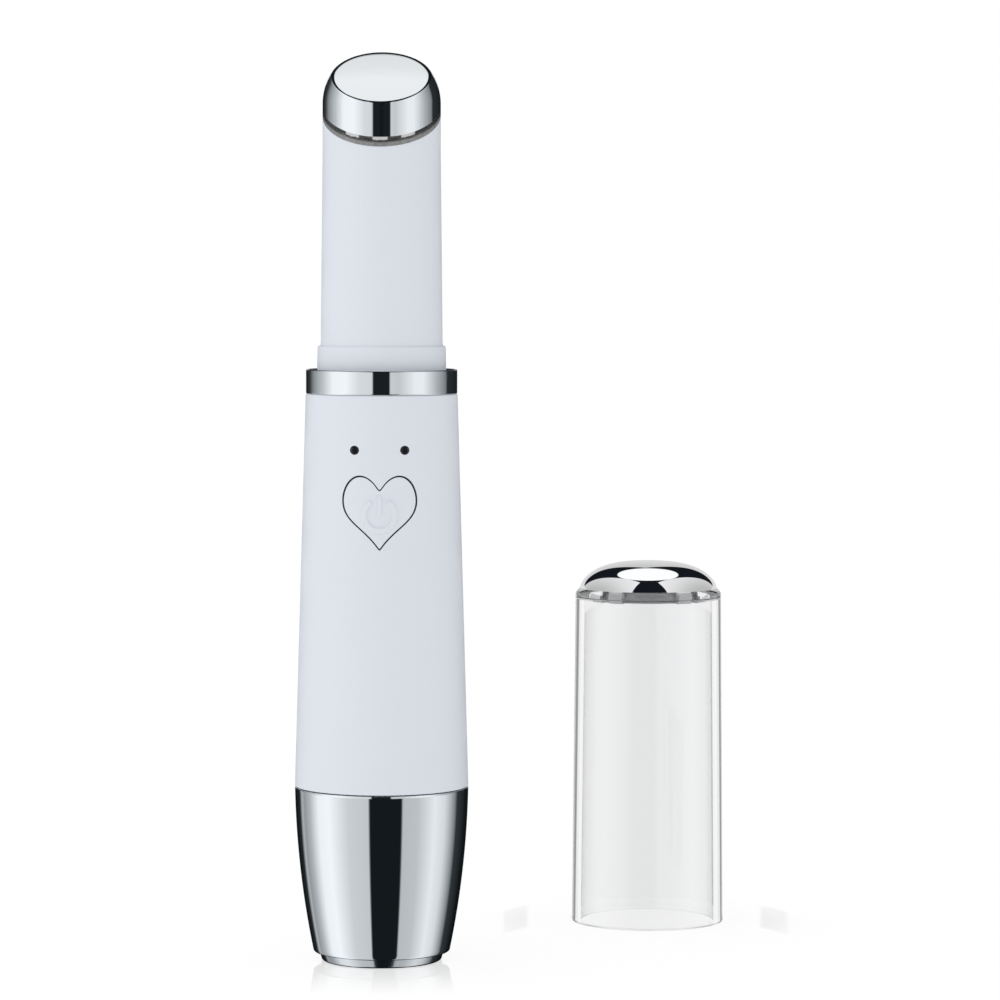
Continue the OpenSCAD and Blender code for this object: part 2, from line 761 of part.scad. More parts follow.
module cap_sleeve() {
    color("lightcyan", 0.4) translate([cap_x, cap_y, 0]) difference() {
        rotate_extrude() {
            polygon([[cap_mouth_r, 0], [cap_r, 0], [cap_r, cap_lip_h], [cap_r - cap_lip, cap_lip_h + 0.2],
                [sleeve_top_r, sleeve_h - cap_shoulder], [shelf_bore_r, sleeve_h - cap_shoulder],
                [shelf_bore_r, sleeve_h - sleeve_shelf],
                [sleeve_top_r - cap_wall, sleeve_h - sleeve_shelf]]);
            intersection() {
                translate([sleeve_top_r - cap_shoulder, sleeve_h - cap_shoulder])
                    circle(r = cap_shoulder, $fn = 48);
                translate([shelf_bore_r, sleeve_h - cap_shoulder]) square([far, far]);
            }
            translate([shelf_bore_r, sleeve_h - cap_shoulder])
                square([sleeve_top_r - cap_shoulder - shelf_bore_r, cap_shoulder]);
        }
        for (a = tab_angles) rotate([0, 0, a])
            block([tab_r - tab_t / 2 - fit, tab_r + tab_t / 2 + fit],
                [-tab_w / 2 - fit, tab_w / 2 + fit], [sleeve_h - sleeve_shelf - 1, sleeve_h + 1]);
    }
}

// chrome end of the cap: a hollow dome, a plug rim and snap tabs
module cap_dome() {
    color("gainsboro") translate([cap_x, cap_y, sleeve_h]) {
        rotate_extrude() difference() {
            polygon(concat([[0, 0]], dome_points(dome_r, dome_h)));
            polygon(concat([[0, -1], [dome_r - dome_wall, -1]],
                dome_points(dome_r - dome_wall, dome_h - dome_wall)));
        }
        tube(dome_r - dome_wall + 0.3, shelf_bore_r - 1.1, 0, 0.8);
        tube(shelf_bore_r - fit, shelf_bore_r - 1.1, -tab_len, tab_len + 0.8);
        for (a = tab_angles) rotate([0, 0, a])
            block([tab_r - tab_t / 2, tab_r + tab_t / 2], [-tab_w / 2, tab_w / 2], [-tab_len, 0.8]);
    }
}

// quarter outline of the cap's dome, from its edge to its top
function dome_points(r, h) = [for (i = [0:24]) let (t = i * 90 / 24)
    [r * pow(cos(t), 0.7), h * pow(sin(t), 1.25)]];

barrel();
collar_ring();
neck_tube();
light_ring();
massage_head();
power_button();
indicator_lens_left();
indicator_lens_right();
base_cup();
foot_plate();
cap_sleeve();
cap_dome();
chassis();
main_board();
board_screws();
switch_housing();
switch_plunger();
indicator_leds();
controller_chip();
positive_contact();
battery_cell();
battery_spring();
spring_contact_plate();
contact_strip();
seal_ring();
motor_case();
motor_end_cap();
motor_shaft();
motor_armature();
eccentric_weight();
motor_sleeve();
motor_cradle();
head_carrier();
heater_film();
thermistor();
led_board();
head_leds();
motor_leads();
head_leads();
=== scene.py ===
import math

import bmesh
import bpy
from mathutils import Matrix, Vector


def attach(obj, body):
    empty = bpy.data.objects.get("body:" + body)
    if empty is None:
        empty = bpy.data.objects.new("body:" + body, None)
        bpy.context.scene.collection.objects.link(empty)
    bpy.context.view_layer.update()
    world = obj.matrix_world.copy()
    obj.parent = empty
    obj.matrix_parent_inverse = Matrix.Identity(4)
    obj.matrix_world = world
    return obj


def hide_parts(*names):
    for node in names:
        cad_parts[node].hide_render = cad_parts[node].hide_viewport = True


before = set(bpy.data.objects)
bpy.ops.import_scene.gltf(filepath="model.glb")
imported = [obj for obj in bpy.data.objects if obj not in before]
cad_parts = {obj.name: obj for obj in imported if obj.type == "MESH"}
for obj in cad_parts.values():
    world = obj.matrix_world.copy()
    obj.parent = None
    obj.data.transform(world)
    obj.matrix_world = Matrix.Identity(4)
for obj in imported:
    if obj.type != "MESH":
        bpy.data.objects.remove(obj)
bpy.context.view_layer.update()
print("frame loaded")

mm = 0.001  # pieces are shaped in millimetres and scaled once at the end
weld = 0.0004  # vertices closer than this are merged
white = (1, 1, 1, 1)
scene = bpy.context.scene
scene.view_settings.view_transform = "Standard"


# ---- small helpers for meshes ----

def tiltedPlane(height, tilt):
    # point and normal of a plane tilted towards the front
    a = math.radians(tilt)
    return {"plane_co": (0, 0, height), "plane_no": (0, -math.sin(a), math.cos(a))}


def everything(bm):
    return bm.verts[:] + bm.edges[:] + bm.faces[:]


def grownVerts(grown):
    return [v for v in grown["geom"] if isinstance(v, bmesh.types.BMVert)]


def roundCorner(bm, corners, radius, segments=4):
    bmesh.ops.bevel(bm, geom=corners, offset=radius, segments=segments, profile=0.5,
                    affect="VERTICES", material=-1)


def roundEdges(bm, edges, radius, segments):
    bmesh.ops.bevel(bm, geom=edges, offset=radius, segments=segments, profile=0.5,
                    affect="EDGES", material=-1)


def spun(bm, steps):
    bmesh.ops.spin(bm, geom=bm.verts[:] + bm.edges[:], cent=(0, 0, 0), axis=(0, 0, 1),
                   angle=math.tau, steps=steps, use_merge=True)
    bmesh.ops.remove_doubles(bm, verts=bm.verts, dist=weld)


def turned(points, steps=192, rounds=()):
    # closed profile of (radius, height) corners, rounded and spun into a solid
    bm = bmesh.new()
    corners = [bm.verts.new((r, 0, z)) for r, z in points]
    bm.faces.new(corners)
    picked = [(corners[i], radius) for i, radius in rounds]
    for corner, radius in picked:
        roundCorner(bm, [corner], radius)
    bmesh.ops.delete(bm, geom=bm.faces[:], context="FACES_ONLY")
    spun(bm, steps)
    onAxis = [e for e in bm.edges if not e.link_faces]
    bmesh.ops.delete(bm, geom=onAxis, context="EDGES")
    bmesh.ops.recalc_face_normals(bm, faces=bm.faces)
    return bm


def bar(radius, x, z, front, back, segments=64):
    # round bar along Y, from a distance in front of the axis to one nearer to it
    bm = bmesh.new()
    middle = Matrix.Translation((x, -(front + back) / 2, z))
    bmesh.ops.create_cone(bm, cap_ends=True, segments=segments, radius1=radius, radius2=radius,
                          depth=front - back, matrix=middle @ Matrix.Rotation(math.pi / 2, 4, "X"))
    return bm


def box(x, y, z):
    bm = bmesh.new()
    size = Matrix.Diagonal((x[1] - x[0], y[1] - y[0], z[1] - z[0], 1))
    middle = Matrix.Translation(((x[0] + x[1]) / 2, (y[0] + y[1]) / 2, (z[0] + z[1]) / 2))
    bmesh.ops.create_cube(bm, size=1, matrix=middle @ size)
    return bm


def joined(*parts):
    bm = bmesh.new()
    for part in parts:
        mesh = bpy.data.meshes.new("part")
        part.to_mesh(mesh)
        part.free()
        bm.from_mesh(mesh)
        bpy.data.meshes.remove(mesh)
    return bm


def meshObject(name, bm):
    mesh = bpy.data.meshes.new(name)
    bm.to_mesh(mesh)
    bm.free()
    made = bpy.data.objects.new(name, mesh)
    scene.collection.objects.link(made)
    return made


def combined(bm, tool, operation="DIFFERENCE"):
    # exact boolean of two solids
    made = [meshObject("blank", part) for part in (bm, tool)]
    cut = made[0].modifiers.new("cut", "BOOLEAN")
    cut.object = made[1]
    cut.operation = operation
    cut.solver = "EXACT"
    graph = bpy.context.evaluated_depsgraph_get()
    result = bpy.data.meshes.new_from_object(made[0].evaluated_get(graph))
    out = bmesh.new()
    out.from_mesh(result)
    for blank in made:
        mesh = blank.data
        bpy.data.objects.remove(blank)
        bpy.data.meshes.remove(mesh)
    bpy.data.meshes.remove(result)
    return out


def openEdges(bm):
    return [e for e in bm.edges if e.is_boundary]


def sliced(bm, height, tilt, keep="below", close=True):
    # cut by a tilted plane; the two rims left by the cut are bridged
    bmesh.ops.bisect_plane(bm, geom=everything(bm), dist=1e-5, **tiltedPlane(height, tilt),
                           clear_outer=keep == "below", clear_inner=keep == "above")
    if close:
        bmesh.ops.bridge_loops(bm, edges=openEdges(bm))
    return bm


def finished(name, bm, material, body, stands=(), sharp=30):
    bmesh.ops.remove_doubles(bm, verts=bm.verts, dist=weld)
    bmesh.ops.scale(bm, vec=Vector((mm, mm, mm)), verts=bm.verts)
    piece = meshObject(name, bm)
    piece.data.materials.append(material)
    piece.data.shade_smooth()
    piece.data.set_sharp_from_angle(angle=math.radians(sharp))
    weighted = piece.modifiers.new("weightedNormals", "WEIGHTED_NORMAL")
    weighted.keep_sharp = True
    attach(piece, body)
    if stands:
        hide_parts(*stands)
    return piece


# ---- small helpers for materials ----

def light(level):
    # screen level 0-255 as a linear value
    c = level / 255
    return c / 12.92 if c <= 0.04045 else ((c + 0.055) / 1.055) ** 2.4


def tone(red, green=None, blue=None):
    green = red if green is None else green
    blue = red if blue is None else blue
    return (light(red), light(green), light(blue), 1)


def put(tree, kind, inputs=None, **settings):
    node = tree.nodes.new(kind)
    for key, value in settings.items():
        setattr(node, key, value)
    for key, value in (inputs or {}).items():
        if isinstance(value, bpy.types.NodeSocket):
            tree.links.new(value, node.inputs[key])
        else:
            node.inputs[key].default_value = value
    return node


def sums(tree, operation, a, b=None, c=None):
    values = {0: a}
    if b is not None:
        values[1] = b
    if c is not None:
        values[2] = c
    return put(tree, "ShaderNodeMath", values, operation=operation).outputs[0]


def times(tree, a, b):
    return sums(tree, "MULTIPLY", a, b)


def magnitude(tree, value):
    return sums(tree, "ABSOLUTE", value)


def fade(tree, value, start, end, low=0.0, high=1.0):
    # low before start, high after end, smooth between
    return put(tree, "ShaderNodeMapRange", {"Value": value, "From Min": start, "From Max": end,
                                            "To Min": low, "To Max": high},
               interpolation_type="SMOOTHSTEP").outputs[0]


def blendColors(tree, amount, a, b):
    node = put(tree, "ShaderNodeMix", data_type="RGBA")
    for socket, value in ((0, amount), (6, a), (7, b)):
        if isinstance(value, bpy.types.NodeSocket):
            tree.links.new(value, node.inputs[socket])
        else:
            node.inputs[socket].default_value = value
    return node.outputs[2]


def blendShaders(tree, amount, a, b):
    return put(tree, "ShaderNodeMixShader", {0: amount, 1: a, 2: b}).outputs[0]


def ramp(tree, amount, stops):
    node = put(tree, "ShaderNodeValToRGB", {"Fac": amount})
    band = node.color_ramp.elements
    band.remove(band[1])
    band[0].position = stops[0][0]
    band[0].color = stops[0][1]
    for position, color in stops[1:]:
        band.new(position).color = color
    return node.outputs["Color"]


def backdrop(tree, color, strength=1.0):
    return put(tree, "ShaderNodeBackground", {"Color": color, "Strength": strength}).outputs[0]


def matt(tree, color):
    return put(tree, "ShaderNodeBsdfDiffuse", {"Color": color}).outputs[0]


def gloss(tree, roughness):
    return put(tree, "ShaderNodeBsdfAnisotropic", {"Color": white, "Roughness": roughness}).outputs[0]


def objectPlace(tree):
    return put(tree, "ShaderNodeTexCoord").outputs["Object"]


def turnFromFront(tree, x, y):
    # angle round the upright axis, zero towards the camera, in radians
    return sums(tree, "ARCTAN2", x, times(tree, y, -1.0))


def emptyMaterial(name):
    material = bpy.data.materials.new(name)
    material.use_nodes = True
    material.node_tree.nodes.clear()
    return material, material.node_tree


def newMaterial(name):
    material, tree = emptyMaterial(name)
    shader = put(tree, "ShaderNodeBsdfPrincipled")
    put(tree, "ShaderNodeOutputMaterial", {"Surface": shader.outputs[0]})
    return material, tree, shader


def grain(tree, scale, detail=3.0, coordinate=None):
    # noise on the object's own coordinates
    where = coordinate or objectPlace(tree)
    noise = put(tree, "ShaderNodeTexNoise", {"Vector": where, "Scale": scale, "Detail": detail})
    return noise.outputs["Fac"]


def relief(tree, shader, height, distance):
    bump = put(tree, "ShaderNodeBump", {"Height": height, "Distance": distance, "Strength": 1.0})
    tree.links.new(bump.outputs[0], shader.inputs["Normal"])


def simpleFinish(name, color, spread=0.06, roughness=0.4, metallic=0.0, scale=300, bump=0.00002,
                 coat=0.0, roughSpread=0.08):
    # moulded or plated part: slight mottle in colour and gloss, fine relief
    material, tree, shader = newMaterial(name)
    noise = grain(tree, scale)
    darker = tuple(c * (1 - spread) for c in color[:3]) + (1,)
    lighter = tuple(min(1, c * (1 + spread)) for c in color[:3]) + (1,)
    tree.links.new(blendColors(tree, noise, darker, lighter), shader.inputs["Base Color"])
    shader.inputs["Metallic"].default_value = metallic
    shader.inputs["Coat Weight"].default_value = coat
    rough = fade(tree, grain(tree, scale * 0.4), 0.3, 0.7,
                 max(0.0, roughness - roughSpread), roughness + roughSpread)
    tree.links.new(rough, shader.inputs["Roughness"])
    relief(tree, shader, grain(tree, scale * 3), bump)
    return material


# ---- studio: what the chrome, the clear plastic and the matt surfaces see around them ----

studio = {
    "level": 0.755,         # plain light for matt surfaces
    "lean": 0.20,           # how much more comes from the left
    "lift": 0.16,           # how much more comes from above
    "plainColor": (0.985, 0.99, 1.0, 1),
    "aside": 1.6,           # the wand is seen from a little to its right, in degrees
    "dark": (20, 23, 28),   # black flags between the boxes of light
    # boxes of light round the wand, as seen in the chrome: (degrees from the camera, screen level)
    "sidesHigh": [(-158, 30), (-140, 60), (-126, 138), (-100, 194), (-80, 242), (-56, 245), (-34, 216),
                  (-14.5, 212), (-13, 29), (11.5, 29), (13, 203), (26, 197), (52, 235), (66, 235),
                  (92, 175), (114, 124), (119, 44), (160, 30)],
    "sidesLow": [(-158, 22), (-141, 40), (-133, 176), (-126, 148), (-112, 180), (-94, 240), (-76, 246),
                 (-46, 205), (-17.5, 196), (-16.5, 24), (26.5, 24), (28.5, 186), (50, 192), (76, 232),
                 (94, 215), (116, 122), (121, 52), (150, 20)],
    "sidesMeet": (-4.4, -3.8),    # height in degrees where the low boxes end
    "floorDark": (-68.0, -60.0),  # below this it is dark
    "ceilingGap": 1.0,            # half width of the dark strip overhead, per height
    "gapEdge": 0.008,
    # white box overhead, its width and depth per height
    "topBox": {"half": 0.37, "front": 0.0, "back": 0.72, "edge": 0.012, "frontEdge": 0.02, "backEdge": 0.08,
               "stops": [(0.0, 244), (0.3, 238), (0.6, 240), (0.8, 230), (1.0, 226)]},
    # white strip straight behind, in degrees: the mirroring floor shows the white backdrop there
    "behind": {"low": (5.5, 7.0), "high": (12.0, 13.5), "turn": (164.0, 168.0)},
    # grey band that the clear walls bend into view
    "glassEdge": {"from": 127.0, "to": 141.0, "soft": 4, "color": (176, 177, 178)},
}


def sideBoxes(tree, turn):
    round360 = sums(tree, "MULTIPLY_ADD", turn, 1 / 360, 0.5)
    rounds = []
    for stops in (studio["sidesHigh"], studio["sidesLow"]):
        tones = [((a + 180) / 360, tone(level - 4, level + 1, level + 4)) for a, level in stops]
        rounds.append(ramp(tree, round360, tones))
    return rounds


def mirrorSight(tree, x, y, z, turn, rise):
    # what the chrome mirrors
    high, low = sideBoxes(tree, turn)
    sides = blendColors(tree, fade(tree, rise, *studio["sidesMeet"], 1.0, 0.0), high, low)
    aside = magnitude(tree, x)
    dark = tone(*studio["dark"])
    gap = studio["gapEdge"]
    inSides = fade(tree, sums(tree, "MULTIPLY_ADD", z, -studio["ceilingGap"], aside), -gap, gap)
    sight = blendColors(tree, inSides, dark, sides)
    sight = blendColors(tree, fade(tree, rise, *studio["floorDark"], 1.0, 0.0), sight, dark)
    # box of light overhead
    top = studio["topBox"]
    along = sums(tree, "DIVIDE", y, sums(tree, "MAXIMUM", z, 0.001))
    shine = ramp(tree, fade(tree, along, top["front"], top["back"]),
                 [(p, tone(v - 4, v - 1, v)) for p, v in top["stops"]])
    outTop = sums(tree, "MULTIPLY_ADD", z, -top["half"], aside)
    inTop = fade(tree, outTop, -top["edge"], top["edge"], 1.0, 0.0)
    soft = top["frontEdge"]
    inTop = times(tree, inTop, fade(tree, along, top["front"] - soft, top["front"] + soft))
    soft = top["backEdge"]
    inTop = times(tree, inTop, fade(tree, along, top["back"] - soft, top["back"] + soft, 1.0, 0.0))
    inTop = times(tree, inTop, fade(tree, z, 0.0, 0.05))
    sight = blendColors(tree, inTop, sight, shine)
    behind = studio["behind"]
    straight = times(tree, fade(tree, rise, *behind["low"]), fade(tree, rise, *behind["high"], 1.0, 0.0))
    straight = times(tree, straight, fade(tree, magnitude(tree, turn), *behind["turn"]))
    return blendColors(tree, straight, sight, white)


def buildWorld():
    world = bpy.data.worlds.new("studio")
    scene.world = world
    world.use_nodes = True
    tree = world.node_tree
    tree.nodes.clear()
    direction = put(tree, "ShaderNodeTexCoord").outputs["Generated"]
    x, y, z = put(tree, "ShaderNodeSeparateXYZ", {0: direction}).outputs
    turn = sums(tree, "DEGREES", turnFromFront(tree, x, y))
    turn = sums(tree, "SUBTRACT", turn, studio["aside"])
    rise = sums(tree, "DEGREES", sums(tree, "ARCSINE", z))
    mirrorView = backdrop(tree, mirrorSight(tree, x, y, z, turn, rise))
    # clear plastic shows the white backdrop and the grey band
    edge = studio["glassEdge"]
    soft = edge["soft"]
    wide = magnitude(tree, turn)
    inEdge = times(tree, fade(tree, wide, edge["from"] - soft, edge["from"] + soft),
                   fade(tree, wide, edge["to"] - soft, edge["to"] + soft, 1.0, 0.0))
    glassView = backdrop(tree, blendColors(tree, inEdge, white, tone(*edge["color"])))
    # matt surfaces get a plain level that leans to the left and upwards
    even = sums(tree, "MULTIPLY_ADD", x, -studio["lean"], studio["level"])
    even = sums(tree, "MULTIPLY_ADD", z, studio["lift"], even)
    mixed = backdrop(tree, studio["plainColor"], even)
    path = put(tree, "ShaderNodeLightPath")
    for ray, shown in (("Is Glossy Ray", mirrorView), ("Is Transmission Ray", glassView),
                       ("Is Camera Ray", backdrop(tree, white))):
        mixed = blendShaders(tree, path.outputs[ray], mixed, shown)
    put(tree, "ShaderNodeOutputWorld", {"Surface": mixed})


buildWorld()


# ---- camera and floor ----

view = {"pitch": 3.2, "distance": 680, "across": 19.15, "height": 74.9, "lens": 151.2, "roll": 0.09}


def placeCamera():
    data = bpy.data.cameras.new("camera")
    data.lens = view["lens"]
    data.sensor_width = 36
    data.clip_start = 0.01
    camera = bpy.data.objects.new("camera", data)
    scene.collection.objects.link(camera)
    pitch = math.radians(view["pitch"])
    camera.location = (view["across"] * mm, -view["distance"] * math.cos(pitch) * mm,
                       (view["height"] + view["distance"] * math.sin(pitch)) * mm)
    camera.rotation_euler = (math.pi / 2 - pitch, 0, 0)
    camera.rotation_euler.rotate_axis("Z", math.radians(view["roll"]))
    scene.camera = camera


placeCamera()

floorLook = {"bounce": 0.16, "own": 0.872, "mirror": 0.23, "roughness": 0.02, "halfSize": 6,
             "wandFade": (9, 37), "capFade": (11, 38), "capAt": (44.7, 42)}


def buildFloor():
    # white paper that mirrors faintly close to the wand and the cap
    bm = bmesh.new()
    bmesh.ops.create_grid(bm, x_segments=1, y_segments=1, size=floorLook["halfSize"])
    floor = meshObject("floor", bm)
    material, tree = emptyMaterial("whiteFloor")
    where = objectPlace(tree)

    def nearness(center, span):
        far = put(tree, "ShaderNodeVectorMath", {0: where, 1: (center[0] * mm, center[1] * mm, 0)},
                  operation="DISTANCE")
        return fade(tree, far.outputs["Value"], span[0] * mm, span[1] * mm, floorLook["mirror"], 0.0)

    glow = put(tree, "ShaderNodeEmission", {"Color": white, "Strength": floorLook["own"]}).outputs[0]
    bounce = matt(tree, (floorLook["bounce"],) * 3 + (1,))
    paper = put(tree, "ShaderNodeAddShader", {0: bounce, 1: glow}).outputs[0]
    amount = sums(tree, "MAXIMUM", nearness((0, 0), floorLook["wandFade"]),
                  nearness(floorLook["capAt"], floorLook["capFade"]))
    surface = blendShaders(tree, amount, paper, gloss(tree, floorLook["roughness"]))
    put(tree, "ShaderNodeOutputMaterial", {"Surface": surface})
    floor.data.materials.append(material)
    floor.visible_glossy = False  # the chrome is shielded from the table


# ---- light tents round the cap ----

# the tent round the cap's chrome end; patterns are in millimetres from its centre
tent = {
    "radius": 44, "center": (44.7, 42, 57.5), "low": -8, "reach": 56,
    # each side lobe lies outside a wedge in front and outside a slanting line overhead
    "lobe": {"wedge": 0.47, "soft": 0.3, "slant": 1.7, "line": (29.5, 31.5),
             "stops": [(0.2, 238), (0.55, 222), (0.95, 186)]},
    # pale crescent low behind
    "crescent": {"slope": 0.74, "line": (31.6, 32.6), "behind": (18.0, 22.0), "height": 32.0,
                 "stops": [(0.0, 226), (1.0, 194)]},
    # white oval overhead
    "oval": {"halfX": 19.5, "halfY": 20.0, "y": 8.5, "edge": (0.96, 1.04), "above": (5.0, 10.0)},
}
# the wall round the clear sleeve; its stops run from the front (0) to straight behind (1)
sleeveTent = {
    "radius": 26, "low": -12, "high": 56, "reach": 25,
    "stops": [(0.0, 140), (0.12, 165), (0.3, 236), (0.59, 250), (0.605, 150), (0.70, 150), (0.715, 252),
              (1.0, 252)],
}


def tentCloth(name):
    # an empty material and the place in millimetres from the tent's centre
    material, tree = emptyMaterial(name)
    center = [value * mm for value in tent["center"]]
    where = objectPlace(tree)
    where = put(tree, "ShaderNodeVectorMath", {0: where, 1: center}, operation="SUBTRACT").outputs[0]
    where = put(tree, "ShaderNodeVectorMath", {0: where, 1: (1 / mm,) * 3}, operation="MULTIPLY").outputs[0]
    return material, tree, *put(tree, "ShaderNodeSeparateXYZ", {0: where}).outputs


def toneRamp(tree, amount, stops):
    return ramp(tree, amount, [(position, tone(level)) for position, level in stops])


def stagedCover(name, bm, material, sight, reach, throughGlass):
    # lit on its inner side only, and only for rays that start within reach
    bmesh.ops.translate(bm, vec=[value * mm for value in tent["center"]], verts=bm.verts)
    cover = meshObject(name, bm)
    cover.data.shade_smooth()
    tree = material.node_tree
    glow = put(tree, "ShaderNodeEmission", {"Color": sight, "Strength": 1.0}).outputs[0]
    outside = put(tree, "ShaderNodeBsdfTransparent").outputs[0]
    near = sums(tree, "LESS_THAN", put(tree, "ShaderNodeLightPath").outputs["Ray Length"], reach * mm)
    inner = times(tree, put(tree, "ShaderNodeNewGeometry").outputs["Backfacing"], near)
    put(tree, "ShaderNodeOutputMaterial", {"Surface": blendShaders(tree, inner, outside, glow)})
    cover.data.materials.append(material)
    cover.visible_camera = False
    cover.visible_diffuse = False
    cover.visible_volume_scatter = False
    cover.visible_shadow = False
    cover.visible_transmission = throughGlass


def buildTent():
    bm = bmesh.new()
    bmesh.ops.create_uvsphere(bm, u_segments=96, v_segments=48, radius=tent["radius"] * mm)
    bmesh.ops.bisect_plane(bm, geom=everything(bm), dist=1e-7, clear_inner=True,
                           **tiltedPlane(tent["low"] * mm, 0))
    material, tree, x, y, z = tentCloth("tentCloth")
    side = magnitude(tree, x)
    lobe = tent["lobe"]
    wedge = fade(tree, sums(tree, "MULTIPLY_ADD", y, lobe["wedge"], side), -lobe["soft"], lobe["soft"])
    slant = fade(tree, sums(tree, "SUBTRACT", times(tree, side, lobe["slant"]), y), *lobe["line"])
    lobeColor = toneRamp(tree, sums(tree, "DIVIDE", side, tent["radius"]), lobe["stops"])
    sight = blendColors(tree, times(tree, wedge, slant), tone(*studio["dark"]), lobeColor)
    crescent = tent["crescent"]
    low = fade(tree, sums(tree, "MULTIPLY_ADD", side, crescent["slope"], z), *crescent["line"], 1.0, 0.0)
    low = times(tree, low, fade(tree, y, *crescent["behind"]))
    lowColor = toneRamp(tree, sums(tree, "DIVIDE", z, crescent["height"]), crescent["stops"])
    sight = blendColors(tree, low, sight, lowColor)
    oval = tent["oval"]
    across = sums(tree, "POWER", sums(tree, "DIVIDE", side, oval["halfX"]), 2.0)
    along = sums(tree, "DIVIDE", magnitude(tree, sums(tree, "SUBTRACT", y, oval["y"])), oval["halfY"])
    along = sums(tree, "POWER", along, 2.0)
    inOval = fade(tree, sums(tree, "ADD", across, along), *oval["edge"], 1.0, 0.0)
    inOval = times(tree, inOval, fade(tree, z, *oval["above"]))
    sight = blendColors(tree, inOval, sight, white)
    stagedCover("capTent", bm, material, sight, tent["reach"], False)


def buildSleeveTent():
    bm = bmesh.new()
    radius = sleeveTent["radius"] * mm
    height = sleeveTent["high"] - sleeveTent["low"]
    middle = sleeveTent["low"] + height / 2 - tent["center"][2]
    bmesh.ops.create_cone(bm, cap_ends=False, segments=128, radius1=radius, radius2=radius,
                          depth=height * mm, matrix=Matrix.Translation((0, 0, middle * mm)))
    material, tree, x, y, z = tentCloth("tentWall")
    turn = magnitude(tree, turnFromFront(tree, x, y))
    sight = toneRamp(tree, sums(tree, "DIVIDE", turn, math.pi), sleeveTent["stops"])
    stagedCover("sleeveTent", bm, material, sight, sleeveTent["reach"], True)


buildFloor()
buildTent()
buildSleeveTent()
print("studio ready")


# ---- finishes ----

neck = {"collarR": 12.22, "collarTop": 96.05, "stepR": 10.42, "stepTopR": 10.35, "stepTop": 99.85,
        "neckR": 9.84, "headR": 9.52, "wall": 1.35, "ringZ": 136.95, "ringTilt": 29, "ringT": 1.3,
        "ringBore": 7.32, "domeRise": 0.3, "spigotR": 9.85}

whiteLook = {"colors": ((0.775, 0.81, 0.872, 1), (0.795, 0.83, 0.892, 1)), "roughness": (0.38, 0.48),
             "specular": 0.35, "relief": 0.000012}

# smoky ring: heights in millimetres above its lower edge, angles in degrees of the painted light patches,
# pale patches painted on its front as the lamps' glow and reflection
ringLook = {"clear": (0.80, 0.785, 0.78, 1), "frost": ((0.16, 0.155, 0.15, 1), (0.62, 0.62, 0.62, 1)),
            "frostEnd": (0.55, 0.95), "frostShare": (0.62, 0.06), "wobble": 0.35, "gleam": 0.12,
            "paintedLightColor": (0.62, 0.61, 0.61, 1), "paintedLightEvery": 28.0, "paintedLightHalf": 7.2, "paintedLightSoft": 0.8,
            "paintedLightStart": (1.0, 1.15), "paintedLightEnd": (42.0, 44.0)}


def whitePlasticFinish():
    material, tree, shader = newMaterial("satinWhitePlastic")
    color = blendColors(tree, grain(tree, 45, 2), *whiteLook["colors"])
    rough = fade(tree, grain(tree, 180), 0.3, 0.7, *whiteLook["roughness"])
    tree.links.new(color, shader.inputs["Base Color"])
    tree.links.new(rough, shader.inputs["Roughness"])
    shader.inputs["Specular IOR Level"].default_value = whiteLook["specular"]
    relief(tree, shader, grain(tree, 2600, 2), whiteLook["relief"])
    return material


def chromeFinish(name, low, high, tint):
    # mirror plating with a faint wiping haze
    material, tree, shader = newMaterial(name)
    shader.inputs["Base Color"].default_value = tint
    shader.inputs["Metallic"].default_value = 1.0
    stretched = put(tree, "ShaderNodeMapping", {"Vector": objectPlace(tree), "Scale": (1, 1, 0.15)})
    haze = grain(tree, 220, 4, stretched.outputs[0])
    tree.links.new(fade(tree, haze, 0.35, 0.75, low, high), shader.inputs["Roughness"])
    return material


def clearPlasticFinish():
    material, tree, shader = newMaterial("clearCapPlastic")
    shader.inputs["Base Color"].default_value = (0.950, 0.953, 0.954, 1)
    shader.inputs["Transmission Weight"].default_value = 1.0
    shader.inputs["IOR"].default_value = 1.49
    tree.links.new(fade(tree, grain(tree, 160, 4), 0.55, 0.8, 0.0, 0.03), shader.inputs["Roughness"])
    return material


def paintedLightPatches(tree, where, edge, start):
    # painted light: pale matt patches on the ring's front under the chrome, standing in for the glow and
    # reflections of the lamps behind it
    x, y, z = put(tree, "ShaderNodeSeparateXYZ", {0: where}).outputs
    turn = sums(tree, "DEGREES", turnFromFront(tree, x, y))
    step = ringLook["paintedLightEvery"]
    off = magnitude(tree, sums(tree, "WRAP", turn, step / 2, -step / 2))
    half, soft = ringLook["paintedLightHalf"], ringLook["paintedLightSoft"]
    low, high = ringLook["paintedLightStart"]
    paintedPatch = times(tree, fade(tree, off, half - soft, half + soft, 1.0, 0.0),
                 fade(tree, edge, start + low * mm, start + high * mm))
    return times(tree, paintedPatch, fade(tree, magnitude(tree, turn), *ringLook["paintedLightEnd"], 1.0, 0.0))


